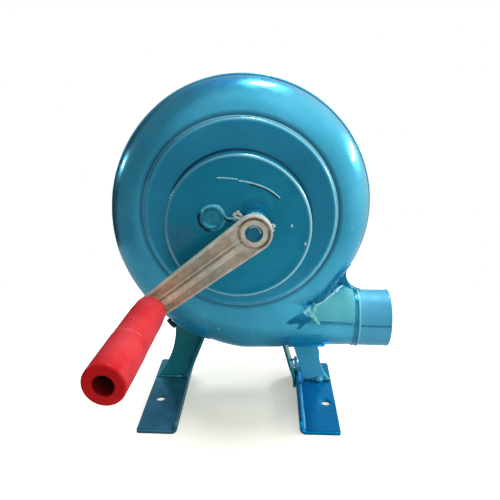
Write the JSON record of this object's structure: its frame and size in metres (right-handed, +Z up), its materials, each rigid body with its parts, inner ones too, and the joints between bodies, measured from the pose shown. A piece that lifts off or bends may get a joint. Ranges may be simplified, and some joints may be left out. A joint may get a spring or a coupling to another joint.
{
  "type": "hand crank forge blower",
  "caption": "Hand-cranked centrifugal forge blower: pressed round casing with side outlet pipe, gear cover, crank arm with turning grip, and two splayed bolt-down feet.",
  "frame": {"origin": "on the floor under the feet, straight below the fan axis and in the middle of the casing's depth", "axes": "+X to the outlet pipe's mouth, +Y to the back where the air inlet is, +Z up; the crank is on the -Y side"},
  "size_m": [0.193, 0.203, 0.2316],
  "materials": {
    "blue_enamel": "glossy blue air-drying enamel over pressed steel",
    "arm_plating": "worn nickel plating over cast iron",
    "bright_steel": "turned bright steel",
    "gear_steel": "oiled cut steel",
    "zinc_plate": "zinc plated sheet",
    "fan_sheet": "galvanised sheet",
    "bronze": "sintered bronze",
    "cotter_wire": "yellow passivated steel wire",
    "red_plastic": "moulded gloss red plastic"
  },
  "bodies": {
    "housing": {"front_shell": "blue_enamel", "rear_shell": "blue_enamel", "outlet_duct": "blue_enamel", "outlet_neck": "blue_enamel", "outlet_pipe": "blue_enamel", "gear_cover": "blue_enamel", "bearing_plate": "zinc_plate", "plate_rivets": "zinc_plate", "crank_bush": "bronze", "fan_front_bush": "bronze", "idler_axle": "blue_enamel", "inlet_bracket": "blue_enamel", "bracket_rivets": "zinc_plate", "fan_rear_bush": "bronze", "left_foot": "blue_enamel", "right_foot": "blue_enamel", "left_upright": "blue_enamel", "right_upright": "blue_enamel", "left_stay": "blue_enamel", "right_stay": "blue_enamel", "left_saddle": "blue_enamel", "right_saddle": "blue_enamel"},
    "crank": {"crank_shaft": "bright_steel", "crank_gear": "gear_steel", "shaft_collar": "blue_enamel", "cotter_pin": "cotter_wire", "crank_arm": "arm_plating", "handle_pin": "bright_steel", "handle_washer": "bright_steel"},
    "grip": {"grip": "red_plastic"},
    "idler": {"idler_pinion": "gear_steel", "idler_gear": "gear_steel"},
    "fan": {"fan_shaft": "bright_steel", "fan_pinion": "gear_steel", "fan_hub": "bright_steel", "fan_disc": "fan_sheet", "fan_blades": "fan_sheet", "fan_shroud": "fan_sheet", "fan_nut": "bright_steel"}
  },
  "joints": [
    {"name": "crank_turn", "type": "hinge", "parent": "housing", "child": "crank", "pos_m": [0.00988, 0, 0.1471], "axis": [0, 1, 0], "continuous": true},
    {"name": "grip_spin", "type": "hinge", "parent": "crank", "child": "grip", "pos_m": [-0.04914, -0.0737, 0.10082], "axis": [-0.0541, -0.9985, 0], "continuous": true},
    {"name": "idler_turn", "type": "hinge", "parent": "housing", "child": "idler", "pos_m": [-0.01502, 0, 0.14928], "axis": [0, 1, 0], "continuous": true},
    {"name": "fan_turn", "type": "hinge", "parent": "housing", "child": "fan", "pos_m": [0, 0, 0.146], "axis": [0, 1, 0], "continuous": true}
  ],
  "couplings": [
    {"joint": "idler_turn", "follows": "crank_turn", "ratio": -4},
    {"joint": "fan_turn", "follows": "crank_turn", "ratio": 12.4}
  ]
}
